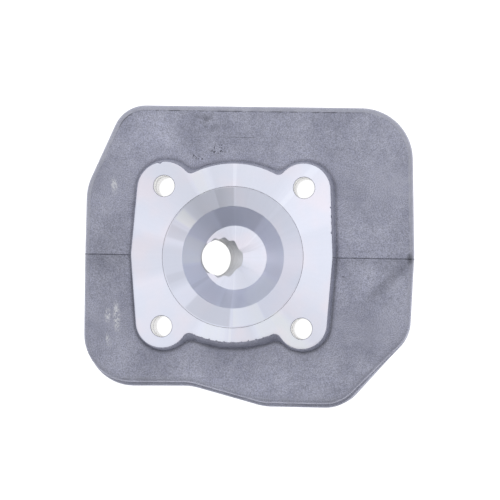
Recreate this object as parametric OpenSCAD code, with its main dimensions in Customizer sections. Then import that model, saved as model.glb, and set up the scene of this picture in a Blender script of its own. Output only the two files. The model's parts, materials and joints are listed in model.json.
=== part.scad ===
// Air-cooled two-stroke cylinder head: one aluminium die casting with a machined gasket
// face, a combustion chamber of two cones and a leaning spark plug hole.
//
// Frame: the origin is on the bore axis in the plane of the gasket face. +Z points out of
// the gasket face, towards the cylinder, so all metal is below z = 0. The spark plug
// leans towards -X, which is called left. The two halves of the die meet on the plane
// y = 0. -Y is called front.

/* [Gasket face] */
// Diameter of the chamber mouth in the gasket face
mouth_d = 48.2; // [47:0.1:49]
// Distance between neighbouring stud holes, the same both ways
stud_pitch = 48; // [47:0.5:49]
// Diameter of the stud holes, for M7 studs
stud_hole_d = 7.25; // [7:0.05:8]
// Height of the raised flange over the first fin
flange_h = 6; // [5:0.5:7]

/* [Combustion chamber] */
// Depth of the shallow squish cone
squish_depth = 1.3; // [0.8:0.1:2]
// Diameter at which the squish cone meets the steep bowl cone
bowl_d = 35; // [32:0.5:38]
// Diameter of the flat chamber roof
roof_d = 22; // [18:0.5:24]
// Depth of the chamber roof below the gasket face
roof_depth = 8; // [7:0.5:9]
// Diameter of the round core that holds the chamber
core_d = 52; // [51:0.5:52.5]

/* [Spark plug] */
// Lean of the plug axis from the bore axis, in degrees
plug_tilt = 20; // [14:1:22]
// Distance from the bore axis to the plug axis, at the chamber roof
plug_offset = 4.6; // [3:0.1:6]
// Crest diameter of the M14 x 1.25 plug thread
plug_thread_d = 12.65; // [12.5:0.05:12.8]
// Reach of the plug, from the chamber roof to the plug seat
plug_reach = 12.7; // [12:0.1:13]
// Diameter of the open well that the plug socket goes into
plug_well_d = 26.4; // [25:0.2:27]
// Thickness of the wall round the plug well
plug_well_wall = 3; // [2.5:0.1:3.2]

/* [Studs] */
// Depth of the nut seats below the gasket face
nut_seat_depth = 17.5; // [16.5:0.5:19]
// How far the stud columns stand inside the edge of the flange
column_inset = 2; // [1:0.1:2.5]
// Diameter of the holes in the outer fins that the nut socket goes through
nut_well_d = 16.4; // [16:0.1:17]

/* [Fins] */
// Distance from one fin to the next
fin_pitch = 7; // [6.5:0.25:8]
// Thickness of each fin
fin_t = 2.8; // [2:0.1:3.2]
// How much further forward the other fins reach than the first fin
fin_step = 1.5; // [0:0.1:2]
// How much less far right each fin reaches than the one before it
fin_draw = 0.25; // [0:0.05:0.5]

/* [Hidden] */

$fn = 96;
fin_count = 5;
solid_fins = 2;             // fins that grow straight out of the stud columns
arc_steps = 10;             // facets in each round stretch of an outline
over = 1;                   // how far a cutter runs past the face it opens
far = 60;                   // longer than any distance from the bore axis to an edge
waist_r = 2;                // small inward round between a stud lobe and a crown
stud_x = stud_pitch / 2;
head_h = flange_h + (fin_count - 1) * fin_pitch + fin_t;
column_h = nut_seat_depth - flange_h;
plug_well_outer_d = plug_well_d + 2 * plug_well_wall;
cast_grey = [0.62, 0.63, 0.67];
machined = [0.86, 0.87, 0.90];

// An outline is a belt that runs anticlockwise round circles, each [x, y, radius]. The
// belt bends inwards round a circle with a negative radius.
//
// The flange's circles: four stud lobes, one crown of the round chamber wall between the
// rear lobes and one between the front lobes, and the widest point of each side, where
// the two halves of the die meet.
side_right = [32.3, 0.5, 2];
side_left = [-33.1, 0.3, 2];
lobe_rear_right = [stud_x - 0.2, stud_x - 0.9, 9.4];
lobe_rear_left = [0.3 - stud_x, stud_x - 1.2, 9.7];
lobe_front_left = [0.1 - stud_x, 1.6 - stud_x, 9.1];
lobe_front_right = [stud_x, 1.6 - stud_x, 8.7];
crown_rear = [0, 1.4, 30.8];
crown_front = [0, 5.4, 34.7];

// Circle that nestles outside both a and b, on the right of the way from a to b. The
// little play leaves a short straight between the rounds.
function waist(a, b, r = waist_r, play = 0.02) =
    let (reach_a = a[2] + r + play,
         reach_b = b[2] + r + play,
         gap = norm([b[0] - a[0], b[1] - a[1]]),
         ahead = (reach_a * reach_a - reach_b * reach_b + gap * gap) / (2 * gap),
         aside = sqrt(reach_a * reach_a - ahead * ahead),
         along = [b[0] - a[0], b[1] - a[1]] / gap)
    [a[0] + ahead * along[0] + aside * along[1], a[1] + ahead * along[1] - aside * along[0], -r];

flange_belt = [
    side_right,
    lobe_rear_right, waist(lobe_rear_right, crown_rear),
    crown_rear, waist(crown_rear, lobe_rear_left),
    lobe_rear_left,
    side_left,
    lobe_front_left, waist(lobe_front_left, crown_front),
    crown_front, waist(crown_front, lobe_front_right),
    lobe_front_right];

// The circles of fin i. step moves the front half forward, draw moves the right side in.
function fin_belt(i) =
    let (step = i == 1 ? 0 : fin_step, draw = fin_draw * (i - 1)) [
    [41.7 - draw, 2, 20],           // right side
    [42.9 - draw, 34.2, 17.8],      // rear right corner
    [-31.6, 40.5, 11.6],            // rear left corner, cut off by a slant
    [-33.3, 19.7, 18.4],
    [-31.8, -1.5, 20],              // left side
    [-35.2, -26.9 - step, 16.4],
    [-17.2, -63 - step, -20],       // hollow in the front edge
    [13.2, -29.4 - step, 20.2],
    [31.6, -36.4 - step, 13.2],
    [48 - draw, -20.1 - step / 2, 12.9]];   // front right corner, cut off by a slant

// Heading of the straight from circle a to circle b, turned back a right angle: the
// angle at which that straight touches both circles.
function touch_angle(a, b) =
    atan2(b[1] - a[1], b[0] - a[0]) - acos((a[2] - b[2]) / norm([b[0] - a[0], b[1] - a[1]]));

function belt_points(circles, grow = 0) =
    let (last = len(circles) - 1)
    [for (i = [0 : last])
        let (here = circles[i],
             start = touch_angle(circles[i == 0 ? last : i - 1], here),
             end = touch_angle(here, circles[i == last ? 0 : i + 1]),
             sweep = (end - start + 540) % 360 - 180)
        for (k = [0 : arc_steps])
            let (a = start + sweep * k / arc_steps)
            [here[0] + (here[2] + grow) * cos(a), here[1] + (here[2] + grow) * sin(a)]];

// Children on the plug axis: their z = 0 is at the chamber roof, and their +Z runs
// outwards, the way the plug comes out.
module on_plug_axis() {
    translate([-plug_offset, 0, -roof_depth]) rotate([0, 180 + plug_tilt, 0]) children();
}

module at_studs() {
    for (x = [-stud_x, stud_x], y = [-stud_x, stud_x]) translate([x, y, 0]) children();
}

module stud_holes() {
    at_studs() translate([0, 0, -nut_seat_depth - over])
        cylinder(d = stud_hole_d, h = nut_seat_depth + 2 * over);
}

// The block that carries the studs and the chamber, from the flange to the nut seats.
module column_block() {
    translate([0, 0, -nut_seat_depth])
        linear_extrude(column_h) polygon(belt_points(flange_belt, -column_inset));
}

// The space of the chamber: squish cone, bowl cone and flat roof.
module chamber_space() {
    translate([0, 0, -squish_depth])
        cylinder(d1 = bowl_d, d2 = mouth_d, h = squish_depth);
    translate([0, 0, -roof_depth])
        cylinder(d1 = roof_d, d2 = bowl_d, h = roof_depth - squish_depth);
}

module gasket_flange() {
    color(machined) difference() {
        translate([0, 0, -flange_h]) linear_extrude(flange_h) polygon(belt_points(flange_belt));
        translate([0, 0, -flange_h - over]) cylinder(d = core_d, h = flange_h + 2 * over);
        stud_holes();
    }
}

module combustion_chamber() {
    color(machined) difference() {
        union() {
            translate([0, 0, -nut_seat_depth]) cylinder(d = core_d, h = nut_seat_depth);
            on_plug_axis() cylinder(d = plug_well_outer_d, h = plug_reach);
        }
        chamber_space();
        on_plug_axis() {
            translate([0, 0, -roof_depth])
                cylinder(d = plug_thread_d, h = roof_depth + plug_reach + over);
            translate([0, 0, plug_reach]) cylinder(d = plug_well_d, h = head_h);
        }
    }
}

// The wall round the plug well, from the nut seats' level to the outermost fin.
module plug_well() {
    color(cast_grey) intersection() {
        on_plug_axis() translate([0, 0, plug_reach]) difference() {
            cylinder(d = plug_well_outer_d, h = head_h);
            translate([0, 0, -over]) cylinder(d = plug_well_d, h = head_h + 2 * over);
        }
        translate([-far, -far, -head_h])
            cube([2 * far, 2 * far, head_h - nut_seat_depth]);
    }
}

// One quarter of the column block, outside the core, with its stud hole. side is -1 for
// left and 1 for right, and end is -1 for front and 1 for rear.
module stud_column(side, end) {
    color(cast_grey) difference() {
        intersection() {
            column_block();
            translate([side < 0 ? -far : 0, end < 0 ? -far : 0, -head_h])
                cube([far, far, head_h]);
        }
        translate([0, 0, -head_h]) cylinder(d = core_d, h = head_h);
        stud_holes();
    }
}

// Fins are flat plates, counted from the gasket face. The first two stand round the
// column block. The others stand round the plug well, with a hole at each stud.
module fin(i) {
    top_z = -flange_h - (i - 1) * fin_pitch;
    color(cast_grey) difference() {
        translate([0, 0, top_z - fin_t])
            linear_extrude(fin_t) polygon(belt_points(fin_belt(i)));
        if (i <= solid_fins) {
            translate([0, 0, over]) column_block();
            translate([0, 0, -over]) column_block();
        } else {
            on_plug_axis() cylinder(d = plug_well_outer_d, h = 2 * head_h);
            at_studs() translate([0, 0, top_z - fin_t - over])
                cylinder(d = nut_well_d, h = fin_t + 2 * over);
        }
    }
}

gasket_flange();
combustion_chamber();
plug_well();
stud_column(-1, -1);  // stud_column_front_left
stud_column(1, -1);  // stud_column_front_right
stud_column(-1, 1);  // stud_column_rear_left
stud_column(1, 1);  // stud_column_rear_right
fin(1);  // fin_1
fin(2);  // fin_2
fin(3);  // fin_3
fin(4);  // fin_4
fin(5);  // fin_5
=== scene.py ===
"""Looks of the air-cooled two-stroke cylinder head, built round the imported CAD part.

Lengths here are in millimetres, in the part's own frame: the origin on the bore axis in
the plane of the gasket face, +Z out of that face, the plug leaning towards -X, and the
halves of the die meeting near y = 0. Meshes are scaled to metres as they are made.
"""
import json
import math

import bmesh
import bpy
import numpy as np
from mathutils import Matrix, Vector, geometry

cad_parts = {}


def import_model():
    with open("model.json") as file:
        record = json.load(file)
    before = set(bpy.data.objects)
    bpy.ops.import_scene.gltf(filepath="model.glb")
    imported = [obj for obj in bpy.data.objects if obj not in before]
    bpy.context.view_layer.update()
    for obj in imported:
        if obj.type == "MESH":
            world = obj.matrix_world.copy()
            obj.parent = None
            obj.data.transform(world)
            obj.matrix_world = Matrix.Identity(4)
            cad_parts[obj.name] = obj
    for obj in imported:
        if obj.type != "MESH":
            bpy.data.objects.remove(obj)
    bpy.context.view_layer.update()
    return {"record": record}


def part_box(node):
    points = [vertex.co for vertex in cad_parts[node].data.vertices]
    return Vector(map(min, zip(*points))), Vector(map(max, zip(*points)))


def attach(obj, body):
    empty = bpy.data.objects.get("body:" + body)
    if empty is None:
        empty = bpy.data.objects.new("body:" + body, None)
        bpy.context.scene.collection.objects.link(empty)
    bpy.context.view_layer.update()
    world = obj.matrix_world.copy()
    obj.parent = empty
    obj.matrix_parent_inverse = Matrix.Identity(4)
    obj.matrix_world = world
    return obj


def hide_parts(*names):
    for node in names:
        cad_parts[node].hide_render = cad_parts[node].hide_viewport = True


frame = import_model()

MM = 0.001
TURN = 2 * math.pi
MERGE, NO_AREA = 1e-8, 1e-7             # in metres: coinciding points, edges of no length
SHARP = 28                              # degrees at which shading breaks along an edge


# ------------------------ sizes from the frame

def mount(name):
    return next(m for m in frame["record"]["mounts"] if m["name"] == name)


def node_top(node):
    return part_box(node)[1].z / MM


def node_bottom(node):
    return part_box(node)[0].z / MM


stud_x = mount("stud_holes")["dims"]["spacing_x_mm"] / 2
stud_r = mount("stud_holes")["dims"]["hole_r_mm"]
crest_r = mount("spark_plug_thread")["dims"]["r_mm"]
plug_axis = np.array(mount("spark_plug_thread")["axis"])
plug_point = np.array(mount("spark_plug_thread")["pos_m"]) / MM
foot_z = node_bottom("gasket_flange")
seat_z = node_bottom("stud_column_rear_right")
head_z = node_bottom("fin_5")
core_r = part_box("combustion_chamber")[1].x / MM
STUDS = [(x, y) for x in (-stud_x, stud_x) for y in (-stud_x, stud_x)]
FINS = range(1, 6)
SOLID_FINS = 2                          # fins that grow out of the stud columns

# Sizes of the source that the frame doesn't hold
MOUTH_R = 24.1
SQUISH_DEPTH = 1.3
BOWL_R = 17.5
ROOF_R = 11.0
ROOF_DEPTH = 8.0
PLUG_REACH = 12.7
WELL_R = 13.2
WELL_OUTER_R = 16.2
COLUMN_INSET = 2.0
NUT_WELL_R = 8.2
FIN_STEP = 1.5                          # how much further forward the other fins reach
FIN_DRAW = 0.25                         # how much less far right each fin reaches

# Small forms that only the visual model has
THREAD_ROOT_R = 7.0
THREAD_PITCH = 1.25
DRAFT = math.tan(math.radians(0.5))     # slope of a fin's faces away from the die's plane
PART_Y = 0.45                           # where the halves of the die meet
RIM_R = 1.4                             # round on a fin's edge
COLLAR = 0.7                            # flat ring that keeps a flat face's shading flat
ROOT_R = 0.6                            # fillet where the flange meets the first fin
FACE_BREAK = 0.22                       # broken edge of the machined face
RAGGED, TEAR_HALF = 0.32, 14.5          # tear in the front crown's edge: depth, half width
TEAR_DEPTH, TEAR_SLANT = 0.6, 0.05      # how far down it reaches, and how far down the slant
COLLAR_TEAR = 0.3                       # share of the tear that reaches the flat collar
CHIPPED, CHIPS_Y, CHIPS_HALF = 0.42, 12.5, 6.5      # chips in the right edge
NICK_DEPTH, NICK_X, NICK_HALF = 0.55, -25.6, 0.55   # nick in the rear left lobe's edge
# Waves of the tear and of the chips: size, pace and start
TEAR_WAVES = ((0.6, 2.3, 0.4), (0.5, 5.1, 2.1), (0.5, 9.7, 0))
CHIP_WAVES = ((1, 2.2, 1), (0.6, 3.7, 0))
MOUTH_BREAK = 0.13                      # broken edge of the chamber's mouth
FOOT_GROWTH = (0.95, 1.25, 1.15, 1.3, 0.9, 1.0, 2.15, 1.0)  # foot beyond the face's edge
FOOT_WAIST_R = 4.6                      # inward round of the foot between lobe and crown
FLASH_W, FLASH_H = 0.16, 0.09           # half width and height of the die's parting ridge
FLASH_START = 31.0                      # where the ridge starts, inside the columns' wall
FLASH_SECTION = ((-FLASH_W, -0.3), (-FLASH_W, 0.005), (-0.03, FLASH_H), (0.03, FLASH_H),
                 (FLASH_W, 0.005), (FLASH_W, -0.3))     # its section: across, up
WALL_HIGHLIGHT, ROOT_SHADE = 0.4, 0.9        # how much painted edge highlight the flange's wall gets, how much painted shade its root
RUN_OUT_Z = 0.012                       # the foot's run-out stands this far off the fin
RUN_OUT_W, RUN_OUT_SUNK = 1.5, 1.0      # where it would meet the fin, how deep it closes
RUN_OUT = ((0.25, -0.8), (0.5, -0.5), (0.9, -0.2), (1.4, 0))    # its offsets and tones, the tones fading the painted root shade out onto the fin
HOLE_BREAK = 0.15                       # broken edge of a stud hole
WELL_BREAK = 0.5                        # broken edge of the plug well
WALL_BREAK = 0.2                        # broken edge of the plug well's wall, outside
NUT_WELL_BREAK, NUT_WELL_LEVEL = 0.25, 0.85     # broken edge of a nut well, where it starts
NUT_WELL_PROFILE = ((NUT_WELL_BREAK, 1), (0, NUT_WELL_LEVEL), (0, -NUT_WELL_LEVEL),
                    (NUT_WELL_BREAK, -1))
COLUMN_FILLET = 1.2                     # fillet where a fin grows out of the columns
WELL_FILLET = 0.7                       # fillet where a fin grows out of the plug well
FLANGE_BACK = 1.5                       # how far the flange's hidden back lies in the fin
SEAT_BREAK = 0.2                        # broken edge of a stud hole at its nut's seat
JOINT_DEPTH = 0.4                       # how far a fin is closed inside its wall
THREAD_FLAT = 0.14                      # share of the pitch that is flat at crest and root
THREAD_TURNS = (-3, 14)                 # turns of thread that are made before the cut
SEAT_CONE = 0.3                         # cone that opens the thread at the plug's seat

GRID, FAR = 3.1, 24                     # a drafted face's grid, and its reach in steps
FLANGE_DENSITY = 5                      # more points round the flange, for its torn edge
# Points on each round and each straight stretch of an outline, and round a hole
ARC_POINTS, LINE_POINTS, ROUND_POINTS = 16, 8, 96
# Points across a fin's edge, the ridge on it, a fillet and the foot's root, and along the
# quarter of the core at each stud column
RIM_POINTS, FLASH_POINTS, FILLET_POINTS, ROOT_POINTS, CORE_POINTS = 13, 17, 6, 8, 25
THREAD_SAMPLES = 12                     # rows of points on each turn of the thread
SEARCH, HALVINGS = 8.0, 40              # reach and steps of the search for the plug's mouth
# Radii of the chamber's rings of points, close together at each corner
CHAMBER_RADII = (ROOF_R - 0.2, ROOF_R, ROOF_R + 0.2, 13.2, 15.4, BOWL_R - 0.15, BOWL_R,
                 BOWL_R + 0.15, 19.7, 21.9, MOUTH_R - 0.2, MOUTH_R)


# ------------------------ finishes and marks

def rgba(r, g, b):
    return (r, g, b, 1.0)


# Colours of each finish, the roughness of the machined ones, and how strong the painted
# highlight on a fin's edge and the painted shade in a corner are towards the front and the rear
CAST_DARK, CAST_PALE = rgba(0.445, 0.45, 0.535), rgba(0.565, 0.57, 0.66)
RIM_HIGHLIGHT, RIM_FRONT, RIM_REAR = rgba(0.74, 0.74, 0.79), 0.25, 0.65
CORNER_SHADE_FRONT, CORNER_SHADE_REAR = 0.55, 0.35
TURNED_BLUE, TURNED_PINK = rgba(0.822, 0.843, 0.943), rgba(0.885, 0.85, 0.925)
TURNED_DEEP = rgba(0.84, 0.865, 0.985)
TURNED_ROUGH, TURNED_STRETCH = 0.36, 0.8        # the second is its anisotropy
BORED_DARK, BORED_PALE, BORED_ROUGH = rgba(0.74, 0.732, 0.72), rgba(0.84, 0.832, 0.82), 0.2
TAPPED_DARK, TAPPED_PALE, TAPPED_ROUGH = rgba(0.82, 0.82, 0.83), rgba(0.93, 0.93, 0.94), 0.42

# Scales of the patterns, in repeats a metre
BROAD_CLOUDS, SMALL_CLOUDS, GRAIN, PORES = 70, 420, 2900, 1250
EDGE_WANDER, EDGE_LINE_BREAKS, LINE_BREAKS, SMEARS = 260, 330, 500, 300
SCUFF_STREAKS = (2600, 1300, 900)
TINTS, TURNED_RINGS, BORED_RINGS = 75, 5200, (150, 150, 3500)
CHATTER = 3.4                           # this one in repeats round the bore axis

# How much darker each thing makes the cast skin
PORE_SHADE, EDGE_LINE_SHADE, LINE_SHADE, FRONT_SHADE = 0.3, 0.55, 0.5, 0.1
SMEAR_SHADE, PIT_SHADE, SCRATCH_SHADE, STAIN_SHADE, SPOT_SHADE = 0.38, 0.7, 0.3, 0.21, 0.5

# Marks on the first fin: middle, half size, turn in degrees and soft share of the half
# size, and the level of the middle where it isn't the fin's face
DARK_SMEAR = ((-9.5, 46.5), (9, 5), 8, 0.8)
PIT_ARC = ((-13.4, 34.1), (2.9, 1.2), -18, 0.5)
PIT_GROUP = ((-6.2, 37.2), (3.3, 2.7), 20, 0.5)
SCRATCH = ((0.4, 41.4), (18.5, 0.22), 0, 0.6)
STAIN = ((53, -7.2), (15, 3), 44, 0.85)
DARK_SPOT = ((37.5, -6), (0.8, 0.45), -10, 0.8)
DARK_CORNER = ((60.2, 0.6), (1.4, 2.8), 0, 0.7, -7)
SCUFFS = (((-40.3, -21.1), (1.7, 7.5), 4, 0.7), ((-43.4, -20.5), (1.5, 3.4), 0, 0.7),
          ((-43.0, -29.2), (1.2, 3.4), 15, 0.7), ((-42.1, 24.4), (1.6, 4.2), 12, 0.7))
SCUFF_PALE = rgba(0.88, 0.88, 0.90)
# Soft areas of the skin: middle, half size, how much lighter
SOFT_AREAS = (((4, -44), (34, 10), 0.16), ((43, -2), (16, 30), 0.10),
              ((-30, 42), (18, 12), 0.14), ((-44, 0), (10, 20), -0.12))

# Heights in metres between which one turned surface gives way to the one above it
FACE_EDGE, BOWL_EDGE, ROOF_EDGE = (-0.00012, -0.00002), (-0.0015, -0.0012), (-0.0079, -0.0076)
# Sectors where turned metal catches the light differently: middle and half width in
# degrees, the soft share of the width, how much lighter. The first fan crosses all rings.
TURNED_FAN = ((89.5, 1.6, 0.6, 0.09), (269, 1.3, 0.6, 0.07), (48, 2.5, 0.7, 0.05))
FACE_FAN = ((37, 22, 0.5, 0.06), (113, 9, 0.6, 0.09), (180, 18, 0.6, -0.09),
            (255, 14, 0.5, 0.08), (300, 16, 0.5, 0.11))
SQUISH_FAN = ((98, 9, 0.15, -0.15), (142, 7.5, 0.6, 0.12), (158, 7, 0.5, -0.12),
              (190, 24, 0.4, -0.12), (200, 5, 0.6, -0.06), (248, 22, 0.15, -0.16),
              (285, 15, 0.15, 0.09))
BOWL_FAN = ((84, 33, 0.2, -0.12), (172, 22, 0.5, 0.10), (217, 3.5, 0.6, -0.07),
            (262, 8, 0.4, -0.10), (308, 32, 0.6, 0.07))


# ------------------------ values of the stage, light and camera

FLOOR_HALF, FLOOR_GAP = 3.0, 0.03       # half its side in metres, gap below the head in mm
FLOOR_GREY, FLOOR_ROUGH, FLOOR_GLOW = rgba(0.5, 0.5, 0.5), 0.9, 0.97
SKY_STOPS = ((0.0, 0.9, 0.93), (0.12, 0.6, 0.82), (0.5, 0.42, 0.87), (0.85, 0.56, 0.92),
             (0.955, 0.98, 0.98), (1.0, 1.24, 0.99))     # height, strength, share of red
SKY_FRONT, SKY_REAR = 0.40, 1.15
CARD_SHADE = 0.85
LAMP_SIZE = (0.12, 1.0)
LAMPS = (("left", (-1.5, 0.02, 0.9), 0.35), ("rear", (-0.03, 1.5, 0.9), 0.45))
CAMERA_PLACE, CAMERA_AIM = Vector((0.0886, -0.0226, 0.9507)), Vector((0.00592, 0.00253, 0))
CAMERA_ROLL, CAMERA_LENS, CAMERA_FILM = 1.04, 201.6, 36


# ------------------------ outlines

def waist(a, b, r=2.0, play=0.02):
    """Circle nestling outside circles a and b, on the right of the way from a to b: its
    centre is where circles of the summed radii round both centres cross."""
    (ax, ay, ar), (bx, by, br) = a, b
    reach_a, reach_b, gap = ar + r + play, br + r + play, math.hypot(bx - ax, by - ay)
    ahead = (reach_a ** 2 - reach_b ** 2 + gap ** 2) / (2 * gap)
    aside = math.sqrt(reach_a ** 2 - ahead ** 2)
    ux, uy = (bx - ax) / gap, (by - ay) / gap
    return (ax + ahead * ux + aside * uy, ay + ahead * uy - aside * ux, -r)


def flange_circles(foot=(0,) * 8, waist_r=2.0):
    """The circles that the flange's outline runs round, anticlockwise from the right, each
    grown by what foot says, and the radius of the four waists."""
    side_right, side_left = (32.3, 0.5, 2), (-33.1, 0.3, 2)
    rear_right = (stud_x - 0.2, stud_x - 0.9, 9.4)
    rear_left = (0.3 - stud_x, stud_x - 1.2, 9.7)
    front_left = (0.1 - stud_x, 1.6 - stud_x, 9.1)
    front_right = (stud_x, 1.6 - stud_x, 8.7)
    rear, front = (0, 1.4, 30.8), (0, 5.4, 34.7)
    grown = [(x, y, r + more) for (x, y, r), more in zip(
        (side_right, rear_right, rear, rear_left, side_left, front_left, front, front_right),
        foot)]
    side_right, rear_right, rear, rear_left, side_left, front_left, front, front_right = grown
    return [side_right, rear_right, waist(rear_right, rear, waist_r), rear,
            waist(rear, rear_left, waist_r), rear_left, side_left, front_left,
            waist(front_left, front, waist_r), front, waist(front, front_right, waist_r),
            front_right]


def fin_circles(i):
    """The circles that fin i's outline runs round. step moves the front half forward, draw
    moves the right side in."""
    step, draw = FIN_STEP * (i > 1), FIN_DRAW * (i - 1)
    return [(41.7 - draw, 2, 20), (42.9 - draw, 34.2, 17.8), (-31.6, 40.5, 11.6),
            (-33.3, 19.7, 18.4), (-31.8, -1.5, 20), (-35.2, -26.9 - step, 16.4),
            (-17.2, -63 - step, -20), (13.2, -29.4 - step, 20.2),
            (31.6, -36.4 - step, 13.2), (48 - draw, -20.1 - step / 2, 12.9)]


def belt(circles):
    """Points and outward normals of a belt round the circles, (n, 2) each. The belt
    leaves a circle where its normal is the heading to the next centre, turned back by
    the angle whose cosine is the difference of the radii over the distance."""
    c = np.array(circles, float)
    ahead = np.roll(c, -1, 0)
    gap = ahead[:, :2] - c[:, :2]
    leave = np.arctan2(gap[:, 1], gap[:, 0]) - np.arccos(
        (c[:, 2] - ahead[:, 2]) / np.hypot(gap[:, 0], gap[:, 1]))
    arrive = np.roll(leave, 1)
    sweep = (leave - arrive + 3 * math.pi) % TURN - math.pi
    angle = arrive[:, None] + sweep[:, None] * np.linspace(0, 1, ARC_POINTS)
    normal = np.stack([np.cos(angle), np.sin(angle)], -1)
    arc = c[:, None, :2] + c[:, None, 2:] * normal
    share = np.arange(1, LINE_POINTS + 1)[:, None] / (LINE_POINTS + 1)
    start, end = arc[:, -1:], np.roll(arc[:, :1], -1, 0)
    line = start + (end - start) * share
    line_normal = np.repeat(normal[:, -1:], LINE_POINTS, 1)
    return (np.concatenate([arc, line], 1).reshape(-1, 2),
            np.concatenate([normal, line_normal], 1).reshape(-1, 2))


def turns(count):
    """Angles all the way round."""
    return np.arange(count) * TURN / count


def ring(x, y, r, count=ROUND_POINTS):
    """Points and outward normals of a circle, anticlockwise."""
    a = turns(count)
    normal = np.stack([np.cos(a), np.sin(a)], -1)
    return np.array([x, y]) + r * normal, normal


# ------------------------ surfaces

def grid_faces(rows, columns, closed=True):
    """Quads between neighbouring rows and columns of a grid, closed round the columns."""
    last = columns if closed else columns - 1
    i, j = np.meshgrid(np.arange(rows - 1), np.arange(last), indexing="ij")
    k = (j + 1) % columns
    return np.stack([i * columns + j, i * columns + k, (i + 1) * columns + k,
                     (i + 1) * columns + j], -1).reshape(-1, 4)


def strip(points, slot=0, closed=True, tone=None):
    """Patch from a grid of points (rows, columns, 3). tone, one number a row, goes from -1,
    painted corner shade, through 0, to 1, a painted highlight on a fin's edge."""
    rows, columns = points.shape[:2]
    tone = np.zeros(rows) if tone is None else np.asarray(tone, float)
    return (points.reshape(-1, 3), grid_faces(rows, columns, closed), slot,
            np.repeat(tone, columns))


def carried(path, profile, height, slot=0, tone=None):
    """A profile carried round an outline: a profile point (offset, level) lands that far
    outside the outline, at the height that height(xy, level) gives."""
    xy, normal = path
    offset, level = np.array(profile, float).T
    spots = xy[None] + offset[:, None, None] * normal[None]
    z = height(spots, np.broadcast_to(level[:, None], spots.shape[:2]))
    return strip(np.concatenate([spots, z[..., None]], -1), slot, tone=tone)


def flat(loops, height, level, slot=0, spacing=None):
    """Flat face between closed outlines, the first one outside and the others as holes,
    filled with triangles. Where it is drafted, a square grid of points with a row
    where the die parts lets it follow its height."""
    loops = [loop if area(loop) > 0 else loop[::-1] for loop in loops]
    sizes = [len(loop) for loop in loops]
    starts = np.concatenate([[0], np.cumsum(sizes)])
    outlines = [list(range(a, b)) for a, b in zip(starts, starts[1:])]
    xy = np.concatenate(loops)
    if spacing:
        span = np.arange(-FAR, FAR + 1) * spacing
        grid = np.stack(np.meshgrid(span, span + PART_Y), -1).reshape(-1, 2)
        xy = np.concatenate([xy, grid])
    made, _, faces, _, _, source = geometry.delaunay_2d_cdt(
        [Vector(p) for p in xy.tolist()], [], outlines, 1, 1e-5)
    faces = np.array([face for face, inside in zip(faces, source) if list(inside) == [0]])
    used, faces = np.unique(faces, return_inverse=True)
    faces = faces.reshape(-1, 3)
    made = np.array([tuple(p) for p in made])[used]
    z = height(made, np.full(len(made), float(level)))
    return raised(made, z), faces, slot, np.zeros(len(made))


def area(loop):
    """Area inside a closed outline, positive when it runs anticlockwise."""
    x, y = np.asarray(loop).T
    return (x * np.roll(y, -1) - np.roll(x, -1) * y).sum() / 2


def plain_height(xy, level):
    return level


def raised(xy, z):
    """Points over plan points, at one height or at a height for each."""
    return np.concatenate([xy, np.broadcast_to(z, len(xy))[:, None]], -1)


def quarter_round(r):
    """Sines and cosines of a quarter turn, times r."""
    a = np.linspace(0, math.pi / 2, FILLET_POINTS)
    return r * np.sin(a), r * np.cos(a)


def make_piece(name, patches, materials, node=None):
    """One closed mesh from patches (points, faces, material number, tone), in metres.
    Points that coincide are merged and faces without area are dropped."""
    points, faces, slots, tones, base = [], [], [], [], 0
    for spots, polys, number, tone in patches:
        points.append(spots)
        tones.append(tone)
        faces.extend((polys + base).tolist())
        slots.extend([number] * len(polys))
        base += len(spots)
    mesh = bpy.data.meshes.new(name)
    mesh.from_pydata((np.concatenate(points) * MM).tolist(), [], faces)
    mesh.polygons.foreach_set("material_index", slots)
    mesh.attributes.new("tone", "FLOAT", "POINT").data.foreach_set(
        "value", np.concatenate(tones))
    shape = bmesh.new()
    shape.from_mesh(mesh)
    bmesh.ops.remove_doubles(shape, verts=shape.verts, dist=MERGE)
    bmesh.ops.dissolve_degenerate(shape, edges=shape.edges, dist=NO_AREA)
    bmesh.ops.recalc_face_normals(shape, faces=shape.faces)
    shape.to_mesh(mesh)
    shape.free()
    mesh.polygons.foreach_set("use_smooth", np.ones(len(mesh.polygons), bool))
    mesh.set_sharp_from_angle(angle=math.radians(SHARP))
    for material in materials:
        mesh.materials.append(material)
    piece = bpy.data.objects.new(name, mesh)
    bpy.context.scene.collection.objects.link(piece)
    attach(piece, "root")
    if node:
        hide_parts(node)
    return piece


# ------------------------ materials

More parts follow.
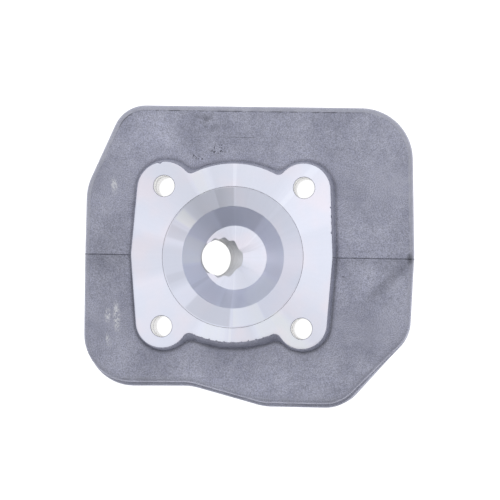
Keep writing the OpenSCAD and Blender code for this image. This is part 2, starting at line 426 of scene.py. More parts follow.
class Formula:
    """Shader nodes written as a formula: each call adds a node and returns its output."""

    def __init__(self, tree, coordinates):
        self.tree = tree
        self.place = self.node("TexCoord").outputs[coordinates]

    def node(self, kind, values=(), **settings):
        node = self.tree.nodes.new("ShaderNode" + kind)
        for key, value in settings.items():
            setattr(node, key, value)
        for socket, value in dict(values).items():
            self.set(node.inputs[socket], value)
        return node

    def set(self, socket, value):
        if isinstance(value, bpy.types.NodeSocket):
            self.tree.links.new(value, socket)
        else:
            socket.default_value = value

    def math(self, operation, *values):
        return self.node("Math", enumerate(values), operation=operation).outputs[0]

    def product(self, first, *others):
        for other in others:
            first = self.math("MULTIPLY", first, other)
        return first

    def vector(self, operation, *values):
        node = self.node("VectorMath", enumerate(values), operation=operation)
        return node.outputs["Value" if operation in ("LENGTH", "DOT_PRODUCT") else "Vector"]

    def parts(self, place):
        return self.node("SeparateXYZ", {"Vector": place}).outputs

    def noise(self, scale, detail=2.0, rough=0.5, place=None):
        return self.node("TexNoise", {"Vector": place or self.place, "Scale": scale,
                                      "Detail": detail, "Roughness": rough}).outputs["Fac"]

    def ramp(self, value, start, stop):
        """From 0 to 1, in a straight line, as value goes from start to stop."""
        return self.node("MapRange", {"Value": value, "From Min": start,
                                      "From Max": stop}).outputs["Result"]

    def ease(self, value, start, stop, low=0.0, high=1.0):
        """From low to high, smoothly, as value goes from start to stop."""
        return self.node("MapRange", {"Value": value, "From Min": start, "From Max": stop,
                                      "To Min": low, "To Max": high},
                         interpolation_type="SMOOTHSTEP").outputs["Result"]

    def mix(self, share, a, b):
        node = self.node("Mix", data_type="RGBA")
        self.set(node.inputs["Factor"], share)
        self.set(node.inputs["A"], a)
        self.set(node.inputs["B"], b)
        return node.outputs["Result"]

    def scaled(self, colour, share):
        """A colour times a number."""
        return self.vector("MULTIPLY", colour, self.node(
            "CombineXYZ", {"X": share, "Y": share, "Z": share}).outputs[0])

    def darkened(self, colour, share):
        """A colour with a share of it taken away."""
        return self.scaled(colour, self.math("SUBTRACT", 1, share))

    def patch(self, centre, half, turn=0.0, soft=0.6, level=foot_z, deep=3):
        """1 inside an ellipsoid that is centred, turned about Z and sized in mm, 0
        outside. deep is its half height."""
        place = self.node("Mapping", {
            "Vector": self.place, "Location": [c * MM for c in (*centre, level)],
            "Rotation": (0, 0, math.radians(turn)), "Scale": [h * MM for h in (*half, deep)]},
            vector_type="TEXTURE").outputs["Vector"]
        return self.ease(self.vector("LENGTH", place), 1.0, 1.0 - soft)

    def sectors(self, heading, fan):
        """1, made lighter or darker in the sectors of a fan: the cosine of the angle
        between heading and a sector's middle says how far inside it is."""
        level = 1
        for turn, half, soft, more in fan:
            middle = (math.cos(math.radians(turn)), math.sin(math.radians(turn)), 0)
            share = self.ease(self.vector("DOT_PRODUCT", heading, middle),
                              math.cos(math.radians(half)),
                              math.cos(math.radians(half * (1 - soft))))
            level = self.math("MULTIPLY_ADD", share, more, level)
        return level


class Recipe(Formula):
    """A material: a formula that feeds its shader."""

    def __init__(self, name):
        self.material = bpy.data.materials.new(name)
        self.material.use_nodes = True
        super().__init__(self.material.node_tree, "Object")
        self.shader = self.tree.nodes["Principled BSDF"]

    def feed(self, name, value):
        self.set(self.shader.inputs[name], value)

    def bump(self, height, strength, distance):
        self.feed("Normal", self.node("Bump", {
            "Height": height, "Strength": strength, "Distance": distance}).outputs["Normal"])


def painted_light_by_tone(m, colour, tone, x, y):
    """Painted light by the tone: a painted highlight on edges, stronger at the rear, a broken
    dark line of painted shade inside the rear edge, and painted shade in corners, stronger at
    the front.
    """
    wander = m.product(m.math("SUBTRACT", m.noise(EDGE_WANDER, 3), 0.5), 0.35)
    edge = m.ease(m.math("ADD", tone, wander), 0.16, 0.34)
    # painted highlight on the fins' edges, stronger towards the rear
    rim_highlight = m.product(edge, m.ease(y, -0.03, 0.03, RIM_FRONT, RIM_REAR))
    colour = m.mix(rim_highlight, colour, RIM_HIGHLIGHT)
    rear = m.product(m.ease(y, 0.040, 0.048, 0.12, 1.0), m.ease(x, 0.048, 0.036, 0.1, 1.0))
    # painted shade: a broken dark line inside the rear edge, where the flat face turns into the
    # rim
    edge_shade_line = m.product(m.ease(tone, 0.03, 0.14), m.ease(tone, 0.30, 0.18), rear,
                     m.ease(m.noise(EDGE_LINE_BREAKS, 3), 0.40, 0.56, 0.25, 1))
    colour = m.darkened(colour, m.product(edge_shade_line, EDGE_LINE_SHADE))
    # painted shade in corners and hollows, stronger towards the front
    corner_shade = m.math("POWER", m.math("MAXIMUM", m.product(tone, -1), 0), 1.4)
    corner_shade = m.product(corner_shade, m.ease(y, -0.012, 0.022, CORNER_SHADE_FRONT, CORNER_SHADE_REAR))
    return m.darkened(colour, corner_shade), edge


def parting_line(m, colour, y):
    """A broken dark line where the die parts, and a faint painted shade in front of it."""
    ahead = m.math("SUBTRACT", y, PART_Y * MM)
    off = m.math("ABSOLUTE", ahead)
    line = m.product(m.ease(off, 0.00030, 0.00008),
                     m.ease(m.noise(LINE_BREAKS), 0.3, 0.5, 0.5, 1))
    colour = m.darkened(colour, m.product(line, LINE_SHADE))
    # painted shade on the front side of the parting line
    front = m.product(m.ease(off, 0.007, 0), m.math("LESS_THAN", ahead, 0))
    return m.darkened(colour, m.product(front, FRONT_SHADE))


def fin_marks(m, colour):
    """Marks on the first fin: a dark smear, pits, a scratch, a stain and dark spots, then
    soft lighter and darker areas, then pale scuffs."""
    smear = m.noise(SMEARS, 4, 0.65)
    pits = m.product(m.math("MAXIMUM", m.patch(*PIT_ARC), m.patch(*PIT_GROUP)),
                     m.ease(m.noise(PORES, 1), 0.57, 0.63, 0, PIT_SHADE))
    marks = (m.product(m.patch(*DARK_SMEAR), m.ease(smear, 0.45, 0.68, 0, SMEAR_SHADE)),
             pits,
             m.product(m.patch(*SCRATCH), m.ease(smear, 0.4, 0.55, 0, SCRATCH_SHADE)),
             m.product(m.patch(*STAIN), STAIN_SHADE),
             m.product(m.patch(*DARK_SPOT), SPOT_SHADE),
             m.product(m.patch(*DARK_CORNER), SPOT_SHADE))
    for mark in marks:
        colour = m.darkened(colour, mark)
    for centre, half, more in SOFT_AREAS:
        share = m.patch(centre, half, soft=1, deep=12)
        colour = m.scaled(colour, m.math("MULTIPLY_ADD", share, more, 1))
    streak = m.node("Mapping", {"Vector": m.place, "Scale": SCUFF_STREAKS,
                                "Rotation": (0, 0, 0.15)}).outputs["Vector"]
    rubbed = 0
    for scuff in SCUFFS:
        rubbed = m.math("MAXIMUM", rubbed, m.patch(*scuff))
    scuffed = m.product(rubbed, m.ease(m.noise(1, 3, 0.7, streak), 0.45, 0.58))
    return m.mix(scuffed, colour, SCUFF_PALE), pits


def cast_aluminium():
    """Blasted die casting: blue-grey skin, a fine grain with dark pores, a painted highlight
    on edges, painted shade in the corners, a dark line where the die parts, and a few marks
    on the first fin."""
    m = Recipe("cast aluminium")
    tone = m.node("Attribute", attribute_name="tone").outputs["Fac"]
    x, y, _ = m.parts(m.place)
    broad = m.ease(m.noise(BROAD_CLOUDS, 3, 0.55), 0.3, 0.7)
    cloud = m.ease(m.noise(SMALL_CLOUDS, 3, 0.6), 0.25, 0.75)
    grain = m.noise(GRAIN, 2, 0.7)
    pores = m.ease(m.noise(PORES), 0.68, 0.76)
    colour = m.mix(broad, CAST_DARK, CAST_PALE)
    colour = m.scaled(colour, m.ease(cloud, 0, 1, 0.95, 1.05))
    colour = m.scaled(colour, m.ease(grain, 0.3, 0.7, 0.72, 1.28))
    colour = m.darkened(colour, m.product(pores, PORE_SHADE))
    colour, edge = painted_light_by_tone(m, colour, tone, x, y)
    colour, pits = fin_marks(m, parting_line(m, colour, y))
    m.feed("Base Color", colour)
    m.feed("Metallic", 0.85)
    m.feed("Roughness", m.math("ADD", m.ease(cloud, 0, 1, 0.54, 0.66), m.product(edge, 0.08)))
    hollows = m.math("ADD", m.product(pores, 0.5), m.product(pits, 1.2))
    m.bump(m.math("SUBTRACT", grain, hollows), 0.3, 0.00006)
    return m.material


def turned_aluminium():
    """Turned metal: fine rings round the bore axis, which draw a light out across them,
    with a faint chatter, painted highlights and shade in sectors by angle, and pink and blue
    tints."""
    m = Recipe("turned aluminium")
    flat_place = m.vector("MULTIPLY", m.place, (1, 1, 0))
    heading = m.vector("NORMALIZE", flat_place)
    radius = m.node("CombineXYZ", {"X": m.vector("LENGTH", flat_place)}).outputs[0]
    _, _, z = m.parts(m.place)
    face = m.ease(z, *FACE_EDGE)
    squish = m.math("SUBTRACT", m.ease(z, *BOWL_EDGE), face)
    bowl = m.product(m.ease(z, *BOWL_EDGE[::-1]), m.ease(z, *ROOF_EDGE))
    colour = m.mix(m.ease(m.noise(TINTS), 0.40, 0.70), TURNED_BLUE, TURNED_PINK)
    chatter = m.noise(CHATTER, 3, 0.7, heading)
    colour = m.scaled(colour, m.ease(chatter, 0.3, 0.7, 0.95, 1.035))
    # painted highlight streaks in sectors where the turned metal catches the lamps
    colour = m.scaled(colour, m.sectors(heading, TURNED_FAN))
    deep = m.math("MULTIPLY_ADD", bowl, 0.7, m.product(squish, 0.4))
    colour = m.mix(deep, colour, TURNED_DEEP)
    # painted highlight and shade in sectors of the face, squish ring and bowl
    for band, fan in ((face, FACE_FAN), (squish, SQUISH_FAN), (bowl, BOWL_FAN)):
        level = m.product(band, m.math("SUBTRACT", m.sectors(heading, fan), 1))
        colour = m.scaled(colour, m.math("ADD", level, 1))
    rings = m.noise(TURNED_RINGS, 2, 0.6, radius)
    m.feed("Base Color", m.scaled(colour, m.ease(rings, 0.25, 0.75, 0.985, 1.015)))
    m.feed("Metallic", 1)
    m.feed("Roughness", m.ease(m.math("ADD", rings, chatter), 0.6, 1.4,
                               TURNED_ROUGH - 0.04, TURNED_ROUGH + 0.04))
    m.feed("Anisotropic", TURNED_STRETCH)
    m.feed("Tangent", heading)
    m.bump(rings, 0.05, 0.00001)
    return m.material


def bored_aluminium(name, dark, pale, rough):
    """Drilled or tapped walls, with fine rings from the tool across the bore axis."""
    m = Recipe(name)
    place = m.node("Mapping", {"Vector": m.place, "Scale": BORED_RINGS}).outputs["Vector"]
    rings = m.noise(1, 2, 0.6, place)
    m.feed("Base Color", m.mix(m.ease(rings, 0.3, 0.7), dark, pale))
    m.feed("Metallic", 1)
    m.feed("Roughness", m.ease(rings, 0.3, 0.7, rough, rough + 0.12))
    m.bump(rings, 0.15, 0.00002)
    return m.material


cast, turned = cast_aluminium(), turned_aluminium()
bored = bored_aluminium("bored aluminium", BORED_DARK, BORED_PALE, BORED_ROUGH)
tapped = bored_aluminium("tapped aluminium", TAPPED_DARK, TAPPED_PALE, TAPPED_ROUGH)


# ------------------------ gasket flange

def fin_top(y):
    """Height of the first fin's upper face, which falls away from the die's plane."""
    return node_top("fin_1") - DRAFT * np.abs(y - PART_Y)


def waves(t, table):
    """A few sines of t whose periods don't fit each other."""
    return sum(size * np.sin(pace * t + start) for size, pace, start in table)


def ragged(xy):
    """How far the face's edge is torn in, where the skin broke as the face was milled:
    waves of x along the front crown, never negative. A bell-shaped nick sits in the rear
    left lobe's edge, and small chips, waves of y, on the right."""
    x, y = xy[:, 0], xy[:, 1]
    torn = RAGGED * np.clip(waves(x, TEAR_WAVES), 0, None)
    torn = torn * np.exp(-(x / TEAR_HALF) ** 8) * (y < 0)
    nick = NICK_DEPTH * np.exp(-((x - NICK_X) / NICK_HALF) ** 2) * (y > 0)
    chips = CHIPPED * np.clip(waves(y, CHIP_WAVES) - 0.5, 0, None)
    chips = chips * np.exp(-((y - CHIPS_Y) / CHIPS_HALF) ** 8) * (x > 0)
    return torn + nick + chips


def dense(path, pieces):
    """An outline with pieces times as many points, laid along straights between them."""
    share = np.arange(pieces) / pieces
    xy, normal = (a[:, None] + share[:, None] * (np.roll(a, -1, 0) - a)[:, None]
                  for a in path)
    normal = normal.reshape(-1, 2)
    return xy.reshape(-1, 2), normal / np.linalg.norm(normal, axis=1)[:, None]


def flange_wall():
    """Rows of points down the flange's edge, and their tones: a broken edge, torn in
    places, a slant to the outline of the foot, a quarter round at its root and a thin
    run-out on the fin."""
    xy, normal = dense(belt(flange_circles()), FLANGE_DENSITY)
    foot_xy, foot_normal = dense(
        belt(flange_circles(FOOT_GROWTH, FOOT_WAIST_R)), FLANGE_DENSITY)
    way = foot_xy - xy
    length = np.linalg.norm(way, axis=1)
    root, unit = np.minimum(length, ROOT_R), way / length[:, None]
    tear = ragged(xy)[:, None]
    sine, cosine = quarter_round(FACE_BREAK)
    edge = [(-FACE_BREAK - COLLAR, 0, COLLAR_TEAR),
            *((s - FACE_BREAK, c - FACE_BREAK, 1) for s, c in zip(sine, cosine))]
    rows = [raised(xy + (offset - share * tear) * normal, z) for offset, z, share in edge]
    tones = [0.0] * len(rows)
    rows.append(raised(xy + TEAR_SLANT * way, -TEAR_DEPTH))
    # the flange's wall gets part of the painted edge highlight
    tones.append(WALL_HIGHLIGHT)
    top = fin_top(foot_xy[:, 1]) + RUN_OUT_Z
    for a in np.linspace(0, math.pi / 2, ROOT_POINTS):
        spot = foot_xy - (root * math.cos(a))[:, None] * unit
        rows.append(raised(spot, top + root * (1 - math.sin(a))))
        # painted highlight at the top of the root round, painted shade at its foot
        tones.append(WALL_HIGHLIGHT * math.cos(a) ** 2 - ROOT_SHADE * math.sin(a) ** 2)
    for offset, tone in RUN_OUT:
        spot = foot_xy + offset * foot_normal
        rows.append(raised(spot, fin_top(spot[:, 1]) + RUN_OUT_Z * (RUN_OUT_W - offset)))
        tones.append(tone)
    return rows, tones


def gasket_flange():
    """The face with its mouth and stud holes, the wall round it, and a back that is hidden
    in the first fin."""
    rows, tones = flange_wall()
    sunk = rows[-1] - np.array([0, 0, RUN_OUT_SUNK])
    back = node_top("fin_1") - FLANGE_BACK
    low = raised(sunk[:, :2], back)
    mouth, mouth_normal = ring(0, 0, MOUTH_R, 4 * ROUND_POINTS)
    patches = [strip(np.stack(rows[:2]), 1), strip(np.stack(rows[1:]), tone=tones[1:]),
               strip(np.stack([rows[-1], sunk, low])),
               carried((mouth, mouth_normal), [(MOUTH_BREAK, 0), (0, -MOUTH_BREAK), (0, back)],
                       plain_height, 2)]
    face_loops = [rows[0][:, :2], mouth + MOUTH_BREAK * mouth_normal]
    back_loops = [low[:, :2], mouth]
    for spot in STUDS:
        xy, normal = ring(*spot, stud_r)
        # tone -1 paints shade on the stud hole's broken edge
        patches.append(carried((xy, normal), [(HOLE_BREAK, 0), (0, -HOLE_BREAK)],
                               plain_height, tone=[-1, -1]))
        patches.append(carried((xy, normal), [(0, -HOLE_BREAK), (0, back)], plain_height, 2))
        face_loops.append(xy + HOLE_BREAK * normal)
        back_loops.append(xy)
    patches.append(flat(face_loops, plain_height, 0, 1))
    patches.append(flat(back_loops, plain_height, back))
    return make_piece("flange_casting", patches, [cast, turned, bored], "gasket_flange")


# ------------------------ combustion chamber

def plug_frame():
    """Foot of the plug axis on the chamber roof, and two directions across the axis."""
    foot = plug_point + plug_axis * ((-ROOF_DEPTH - plug_point[2]) / plug_axis[2])
    side = np.array([0.0, 1.0, 0.0])
    return foot, np.cross(side, plug_axis), side


def on_plug(turn, along, radius):
    """Points at an angle round the plug axis, a distance along it and a radius from it."""
    foot, first, second = plug_frame()
    along, radius, turn = np.broadcast_arrays(along, radius, turn)
    return (foot + along[..., None] * plug_axis
            + (radius * np.cos(turn))[..., None] * first
            + (radius * np.sin(turn))[..., None] * second)


def slid(points, z):
    """Points moved along the plug axis to a height."""
    return points + ((z - points[:, 2]) / plug_axis[2])[:, None] * plug_axis


def chamber_z(r):
    """Height of the chamber's surface at a distance from the bore axis: flat roof, steep
    cone, squish cone."""
    return np.interp(r, [0, ROOF_R, BOWL_R, MOUTH_R],
                     [-ROOF_DEPTH, -ROOF_DEPTH, -SQUISH_DEPTH, 0])


def thread_r(turn, along):
    """Radius of the tapped wall: a vee between crest and root that climbs one pitch a
    turn, opened by a cone at the seat."""
    phase = (along / THREAD_PITCH - turn / TURN) % 1
    vee = np.clip(np.abs(phase - 0.5) * 2, THREAD_FLAT, 1 - THREAD_FLAT)
    vee = (vee - THREAD_FLAT) / (1 - 2 * THREAD_FLAT)
    cut = crest_r + (THREAD_ROOT_R - crest_r) * (1 - vee)
    lead_in = THREAD_ROOT_R + SEAT_CONE - (PLUG_REACH - along)
    return np.maximum(cut, lead_in)


def plug_mouth(turn):
    """How far along the plug axis the tapped wall meets the chamber, by halving."""
    low, high = np.full(turn.shape, -SEARCH), np.full(turn.shape, SEARCH)
    for _ in range(HALVINGS):
        middle = (low + high) / 2
        p = on_plug(turn, middle, thread_r(turn, middle))
        above = p[..., 2] > chamber_z(np.hypot(p[..., 0], p[..., 1]))
        low, high = np.where(above, middle, low), np.where(above, high, middle)
    return (low + high) / 2


def chamber_surface(mouth):
    """Rows of points that run out from the plug's mouth along rays, past the circles where
    each cone begins."""
    middle = mouth.mean(0)[:2]
    ray = mouth[:, :2] - middle
    out = np.linalg.norm(ray, axis=1)
    direction = ray / out[:, None]

    def reach(radius):
        """Points where the rays from the mouth's middle cross a circle."""
        along = -(direction @ middle)
        half = np.sqrt(radius ** 2 - middle @ middle + along ** 2)
        return middle + (along + half)[:, None] * direction

    rows = [mouth[:, :2]]
    for radius in CHAMBER_RADII:
        spot = reach(radius)
        inside = np.linalg.norm(spot - middle, axis=1) < out
        spot[inside] = mouth[inside, :2]
        rows.append(spot)
    plan = np.stack(rows)
    z = chamber_z(np.hypot(plan[..., 0], plan[..., 1]))
    z[0] = mouth[:, 2]
    return np.concatenate([plan, z[..., None]], -1)


def tapped_wall(turn, start):
    """Rows of points along the thread's vee, carried round a helix and cut off at the
    chamber, where start says, and at the seat."""
    first, last = (number * THREAD_SAMPLES for number in THREAD_TURNS)
    steps = np.arange(first, last) / THREAD_SAMPLES * THREAD_PITCH
    along = steps[:, None] + THREAD_PITCH * turn[None] / TURN
    along = np.clip(along, start[None], PLUG_REACH)
    return on_plug(turn[None], along, thread_r(turn[None], along))


def combustion_chamber():
    """The chamber's surface, the tapped wall and the plug's seat, in a block that is
    hidden in the casting down to the nut seats' level."""
    turn = turns(4 * ROUND_POINTS)
    start = plug_mouth(turn)
    surface = chamber_surface(on_plug(turn, start, thread_r(turn, start)))
    edge = surface[-1]
    seat = on_plug(turn[None], np.full((2, 1), PLUG_REACH),
                   np.array([[THREAD_ROOT_R + SEAT_CONE], [WELL_OUTER_R]]))
    outer = seat[1]
    boss = slid(outer, seat_z)
    core = edge[:, :2] * core_r / MOUTH_R
    hidden = np.stack([edge, raised(edge[:, :2], foot_z), raised(core, foot_z),
                       raised(core, seat_z)])
    patches = [strip(surface), strip(tapped_wall(turn, start), 3), strip(seat, 1),
               strip(np.stack([outer, boss]), 2), strip(hidden, 2),
               flat([core, boss[:, :2]], plain_height, seat_z, 2)]
    return make_piece("turned_chamber", patches, [turned, bored, cast, tapped],
                      "combustion_chamber")


def plug_well():
    """The wall round the plug well: a tube on the plug's axis, from the seat to a level
    cut at the outermost fin, where its edges are broken."""
    turn = turns(2 * ROUND_POINTS)

    def cut(radius, z):
        return slid(on_plug(turn, 0, radius), z)

    start_in = on_plug(turn, PLUG_REACH, WELL_R)
    start_out = on_plug(turn, PLUG_REACH, WELL_OUTER_R)
    well = [start_in, cut(WELL_R, head_z + WELL_BREAK), cut(WELL_R + WELL_BREAK, head_z)]
    wall = [cut(WELL_OUTER_R - WALL_BREAK, head_z), cut(WELL_OUTER_R, head_z + WALL_BREAK),
            start_out]
    patches = [strip(np.stack(well), 1), strip(np.stack([well[-1], wall[0]])),
               strip(np.stack(wall)), strip(np.stack([start_out, start_in]))]
    return make_piece("plug_well_wall", patches, [cast, bored], "plug_well")


# ------------------------ stud columns

def stud_column(side, end, name):
    """A quarter of the block round the core: the flange's outline set in, cut off at the
    bore axis, with the stud hole through it and the nut's seat faced flat below."""
    xy, normal = belt(flange_circles())
    edge = xy - COLUMN_INSET * normal
    mine = (edge[:, 0] * side > 0) & (edge[:, 1] * end > 0)
    first = np.flatnonzero(mine & ~np.roll(mine, 1))[0]
    arc = np.roll(edge, -first, 0)[:mine.sum()]
    before, after = edge[first - 1], edge[(first + mine.sum()) % len(edge)]

    def cross(a, b):
        """Point where the line from a to b meets the nearer of the two cutting planes."""
        k = 0 if a[0] * b[0] < 0 else 1
        spot = a + (b - a) * a[k] / (a[k] - b[k])
        spot[k] = 0
        return spot

    arc = np.concatenate([[cross(before, arc[0])], arc, [cross(arc[-1], after)]])
    start, stop = (math.atan2(y, x) for x, y in (arc[-1], arc[0]))
    sweep = (stop - start + math.pi) % TURN - math.pi
    back = start + sweep * np.linspace(0, 1, CORE_POINTS)
    loop = np.concatenate([arc, core_r * np.stack([np.cos(back), np.sin(back)], -1)])
    hole, out = ring(side * stud_x, end * stud_x, stud_r)
    drilled = [(0, foot_z), (0, seat_z + SEAT_BREAK), (SEAT_BREAK, seat_z)]
    patches = [strip(np.stack([raised(loop, foot_z), raised(loop, seat_z)])),
               carried((hole, out), drilled, plain_height, 1),
               flat([loop, hole], plain_height, foot_z),
               flat([loop, hole + SEAT_BREAK * out], plain_height, seat_z, 1)]
    return make_piece("cast_" + name, patches, [cast, bored], name)


# ------------------------ fins

def fin_height(i):
    """Height inside fin i at a level from -1, its lower face, to 1, its upper face. Both
    faces lean together away from the plane where the die parts."""
    top, bottom = node_top(f"fin_{i}"), node_bottom(f"fin_{i}")

    def height(xy, level):
        half = (top - bottom) / 2 - DRAFT * np.abs(xy[..., 1] - PART_Y)
        return (top + bottom) / 2 + level * half
    return height


def well_section(z):
    """Outline of the plug well's wall at a height: an ellipse, because the tube leans."""
    turn = turns(2 * ROUND_POINTS)
    foot, _, _ = plug_frame()
    centre = foot + plug_axis * (z - foot[2]) / plug_axis[2]
    half = np.array([WELL_OUTER_R / abs(plug_axis[2]), WELL_OUTER_R])
    circle = np.stack([np.cos(turn), np.sin(turn)], -1)
    normal = circle / half
    return centre[:2] + circle * half, normal / np.linalg.norm(normal, axis=1)[:, None]


def fin_wall(i, level):
    """Outline of the wall that fin i grows from, at its upper face, 1, or lower face, -1:
    the stud columns' outline, or the plug well's for the outer fins."""
    if i <= SOLID_FINS:
        xy, normal = belt(flange_circles())
        return xy - COLUMN_INSET * normal, normal
    return well_section(node_top(f"fin_{i}") if level > 0 else node_bottom(f"fin_{i}"))


def fillet(path, height, level, r):
    """Quarter round that leads from a fin's face, at level 1 or -1, to the wall the fin
    grows from, and is closed a little inside it. path is the wall's outline."""
    turn = np.linspace(0, math.pi / 2, FILLET_POINTS)
    xy, normal = path
    spots = xy[None] + (r * (1 - np.sin(turn)))[:, None, None] * normal[None]
    base = height(spots[0], np.full(len(xy), float(level)))
    z = base[None] + level * (r * (1 - np.cos(turn)))[:, None]
    sunk = raised(xy - JOINT_DEPTH * normal, z[-1])
    # tone paints shade down the fillet into the corner
    tone = [*np.linspace(-0.3, -1, len(turn)), -1]
    return strip(np.concatenate([np.concatenate([spots, z[..., None]], -1), sunk[None]]),
                 tone=tone)


def fin(i):
    """A plate between two flat faces, with a half-round profile carried round its edge.
    The first two grow out of the stud columns, the others out of the plug well's wall."""
    path = belt(fin_circles(i))
    height = fin_height(i)
    a = np.linspace(math.pi / 2, -math.pi / 2, RIM_POINTS)
    profile = [(-RIM_R - COLLAR, 1), *zip(RIM_R * (np.cos(a) - 1), np.sin(a)),
               (-RIM_R - COLLAR, -1)]
    inset = path[0] - (RIM_R + COLLAR) * path[1]
    offsets = np.array([p[0] for p in profile])
    # tone 1 at the rim's outermost point, 0 at the collar: a painted highlight on the rim
    patches = [carried(path, profile, height, tone=1 + offsets / (RIM_R + COLLAR))]
    faces = {1: [inset], -1: [inset]}
    for spot in STUDS if i > SOLID_FINS else ():
        well = ring(*spot, NUT_WELL_R)
        patches.append(carried(well, NUT_WELL_PROFILE, height, 1))
        for loops in faces.values():
            loops.append(well[0] + NUT_WELL_BREAK * well[1])
    r = COLUMN_FILLET if i <= SOLID_FINS else WELL_FILLET
    joints = []
    for level, loops in faces.items():
        xy, normal = fin_wall(i, level)
        if i == FINS[-1] and level < 0:
            inner = xy - JOINT_DEPTH * normal
            joints.append(raised(inner, height(inner, np.full(len(xy), -1.0))))
            loops.append(inner)
        else:
            patch = fillet((xy, normal), height, level, r)
            patches.append(patch)
            joints.append(patch[0].reshape(-1, len(xy), 3)[-1])
            loops.append(xy + r * normal)
    patches.append(strip(np.stack(joints)))
    for level, loops in faces.items():
        patches.append(flat(loops, height, level, spacing=GRID))
    return make_piece(f"cast_fin_{i}", patches, [cast, bored], f"fin_{i}")


def well_wall_x(i, side):
    """Middle of the plug well's wall in the die's plane at fin i, on its left or right."""
    z = (node_top(f"fin_{i}") + node_bottom(f"fin_{i}")) / 2
    foot, _, _ = plug_frame()
    centre = foot[0] + plug_axis[0] * (z - foot[2]) / plug_axis[2]
    return centre + side * (WELL_R + WELL_OUTER_R) / 2 / abs(plug_axis[2])


def flash_ridge(i, side):
    """The ridge on fin i to the left or right: its low triangle is carried along the fin's
    section in the die's plane and drawn to a point at both ends."""
    outline = belt(fin_circles(i))[0]
    edge = outline[np.argmax(side * outline[:, 0]), 0]
    start = side * FLASH_START if i <= SOLID_FINS else well_wall_x(i, side)
    a = np.linspace(math.pi / 2, -math.pi / 2, FLASH_POINTS)
    x = np.concatenate([[start], edge + side * RIM_R * (np.cos(a) - 1), [start]])
    plane = np.full((len(x), 2), PART_Y)
    z = fin_height(i)(plane, np.concatenate([[1], np.sin(a), [-1]]))
    out = np.concatenate([[[0, 1]], np.stack([side * np.cos(a), np.sin(a)], -1), [[0, -1]]])
    tube = np.stack([np.stack([x + rise * out[:, 0], plane[:, 1] + across,
                               z + rise * out[:, 1]], -1) for across, rise in FLASH_SECTION], 1)
    caps = [np.broadcast_to(end.mean(1, keepdims=True), end.shape)
            for end in (tube[:1], tube[-1:])]
    return strip(np.concatenate([caps[0], tube, caps[1]]))


def parting_flash():
    """The ridge that the die leaves where its halves meet, on every fin."""
    patches = [flash_ridge(i, side) for i in FINS for side in (-1, 1)]
    return make_piece("parting_flash", patches, [cast])


gasket_flange()
combustion_chamber()
plug_well()
for end, row in ((-1, "front"), (1, "rear")):
    for side, column in ((-1, "left"), (1, "right")):
        stud_column(side, end, f"stud_column_{row}_{column}")
for number in FINS:
    fin(number)
parting_flash()


# ------------------------ stage, light and camera

def floor():
    """Pale floor under the outermost fin. It glows a little, as a light table does, and
    can be seen through from below."""
    mesh = bpy.data.meshes.new("floor")
    half, z = FLOOR_HALF, (head_z - FLOOR_GAP) * MM
    mesh.from_pydata([(-half, -half, z), (half, -half, z), (half, half, z), (-half, half, z)],
                     [], [(0, 1, 2, 3)])
    board = bpy.data.objects.new("floor", mesh)
    bpy.context.scene.collection.objects.link(board)
    m = Recipe("pale floor")
    m.feed("Base Color", FLOOR_GREY)
    m.feed("Roughness", FLOOR_ROUGH)
    m.feed("Emission Color", rgba(1, 1, 1))
    m.feed("Emission Strength", FLOOR_GLOW)
    under = m.node("NewGeometry").outputs["Backfacing"]
    pick = m.node("MixShader", {"Fac": under, 1: m.shader.outputs["BSDF"],
                                2: m.node("BsdfTransparent").outputs["BSDF"]})
    m.set(m.tree.nodes["Material Output"].inputs["Surface"], pick.outputs["Shader"])
    mesh.materials.append(m.material)


def area_light(name, place, power):
    """Long narrow lamp, turned to the bore axis."""
    lamp = bpy.data.lights.new(name, "AREA")
    lamp.shape = "RECTANGLE"
    lamp.size, lamp.size_y = LAMP_SIZE
    lamp.energy = power
    light = bpy.data.objects.new(name, lamp)
    light.location = place
    light.rotation_euler = (-Vector(place)).to_track_quat("-Z", "Y").to_euler()
    bpy.context.scene.collection.objects.link(light)


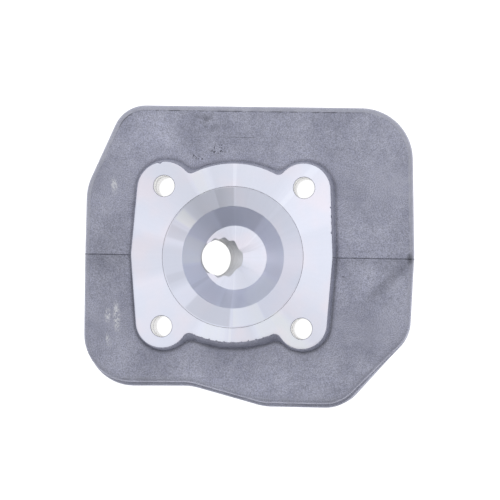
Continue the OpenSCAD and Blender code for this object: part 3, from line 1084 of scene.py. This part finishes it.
def camera():
    """Camera almost straight above, aimed a little right of the bore axis and rolled."""
    view = bpy.data.cameras.new("camera")
    view.lens = CAMERA_LENS
    view.sensor_width = CAMERA_FILM
    eye = bpy.data.objects.new("camera", view)
    place = CAMERA_PLACE
    ahead = (CAMERA_AIM - place).normalized()
    up = Vector((0, 1, 0)) - ahead * ahead.y
    up.normalize()
    up.rotate(Matrix.Rotation(math.radians(CAMERA_ROLL), 3, -ahead))
    right = ahead.cross(up)
    eye.matrix_world = Matrix((
        (right.x, up.x, -ahead.x, place.x), (right.y, up.y, -ahead.y, place.y),
        (right.z, up.z, -ahead.z, place.z), (0, 0, 0, 1)))
    bpy.context.scene.collection.objects.link(eye)
    bpy.context.scene.camera = eye


def sky_colours(m, z):
    """Colour of the tent by height: bright at the zenith and the horizon, dimmer between."""
    node = m.node("ValToRGB", {"Fac": z})
    elements = node.color_ramp.elements
    while len(elements) < len(SKY_STOPS):
        elements.new(0.5)
    for element, (position, level, red) in zip(elements, SKY_STOPS):
        element.position = position
        element.color = rgba(level * red, level * (0.25 + 0.75 * red), level)
    return node.outputs["Color"]


def world():
    """Soft tent of light, dimmest in front above the horizon, with a grey card high up in
    front whose left edge is straight ahead of the head."""
    sky = bpy.data.worlds.new("studio")
    sky.use_nodes = True
    m = Formula(sky.node_tree, "Generated")
    x, y, z = m.parts(m.place)
    right = m.ramp(x, -0.004, 0.004)
    ahead = m.ramp(m.math("ADD", x, y), 0.02, -0.02)
    card = m.product(right, ahead, m.ramp(z, 0.35, 0.55), m.ramp(z, 0.985, 0.97))
    shade = m.math("SUBTRACT", 1, m.product(card, CARD_SHADE))
    front = m.math("SUBTRACT", 1, m.ease(y, -0.9, 0.1, SKY_FRONT, SKY_REAR))
    dim = m.math("SUBTRACT", 1, m.product(m.ramp(z, 0.08, 0.3), front))
    background = sky.node_tree.nodes["Background"].inputs
    m.set(background["Color"], sky_colours(m, z))
    m.set(background["Strength"], m.product(dim, shade))
    bpy.context.scene.world = sky


floor()
world()
camera()
for lamp in LAMPS:
    area_light(*lamp)
bpy.context.scene.view_settings.view_transform = "Standard"
